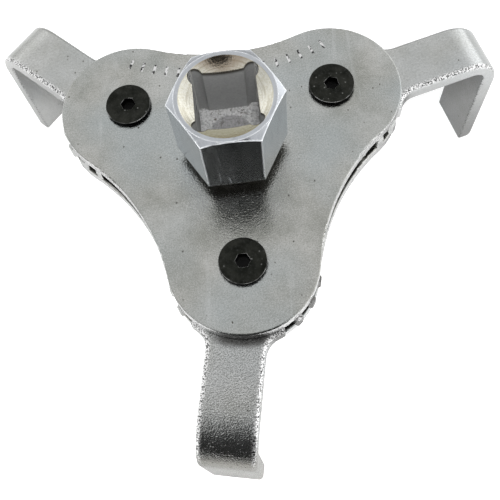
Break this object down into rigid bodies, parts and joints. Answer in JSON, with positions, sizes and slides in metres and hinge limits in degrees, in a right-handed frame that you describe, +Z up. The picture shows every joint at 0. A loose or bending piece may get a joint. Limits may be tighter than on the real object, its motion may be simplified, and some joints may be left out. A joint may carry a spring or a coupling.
{
  "type": "oil filter wrench",
  "caption": "Self-tightening filter wrench: geared bent jaws pivot between lobed plates and close on the filter as the hexagonal, square-drive hub is turned either way.",
  "frame": {"origin": "centre of the hub's flat top face, on the axis of the square drive", "axes": "+Z up along the hub's axis, out of the square socket; -Y towards leg 1"},
  "size_m": [0.1213, 0.1129, 0.0621],
  "materials": {
    "zinc_plate": "satin zinc plate with fine stamped grain",
    "zinc_leg": "satin zinc plate, blasted grain",
    "bright_hub": "bright nickel-zinc plating, machined",
    "gear_steel": "machined steel, oiled",
    "black_oxide": "black oxide",
    "spring_steel": "phosphated spring steel",
    "fastener_zinc": "bright zinc"
  },
  "bodies": {
    "plates": {"top_plate": "zinc_plate", "bottom_plate": "zinc_plate", "thrust_washer": "fastener_zinc", "pivot_screw_1": "black_oxide", "pivot_sleeve_1": "gear_steel", "pivot_lock_washer_1": "spring_steel", "pivot_nut_1": "fastener_zinc", "pivot_screw_2": "black_oxide", "pivot_sleeve_2": "gear_steel", "pivot_lock_washer_2": "spring_steel", "pivot_nut_2": "fastener_zinc", "pivot_screw_3": "black_oxide", "pivot_sleeve_3": "gear_steel", "pivot_lock_washer_3": "spring_steel", "pivot_nut_3": "fastener_zinc"},
    "hub": {"drive_hub": "bright_hub", "sun_gear": "gear_steel", "retaining_ring": "spring_steel"},
    "leg_1": {"leg_1": "zinc_leg"},
    "leg_2": {"leg_2": "zinc_leg"},
    "leg_3": {"leg_3": "zinc_leg"}
  },
  "joints": [
    {"name": "hub_spin", "type": "hinge", "parent": "plates", "child": "hub", "pos_m": [0, 0, 0], "axis": [0, 0, 1], "range_deg": [-170, 135]},
    {"name": "leg_1_swing", "type": "hinge", "parent": "plates", "child": "leg_1", "pos_m": [0, -0.027, -0.0275], "axis": [0, 0, 1], "range_deg": [-97, 122]},
    {"name": "leg_2_swing", "type": "hinge", "parent": "plates", "child": "leg_2", "pos_m": [0.02338, 0.0135, -0.0275], "axis": [0, 0, 1], "range_deg": [-97, 122]},
    {"name": "leg_3_swing", "type": "hinge", "parent": "plates", "child": "leg_3", "pos_m": [-0.02338, 0.0135, -0.0275], "axis": [0, 0, 1], "range_deg": [-97, 122]}
  ],
  "couplings": [
    {"joint": "leg_1_swing", "follows": "hub_spin", "ratio": -0.71429},
    {"joint": "leg_2_swing", "follows": "hub_spin", "ratio": -0.71429},
    {"joint": "leg_3_swing", "follows": "hub_spin", "ratio": -0.71429}
  ]
}
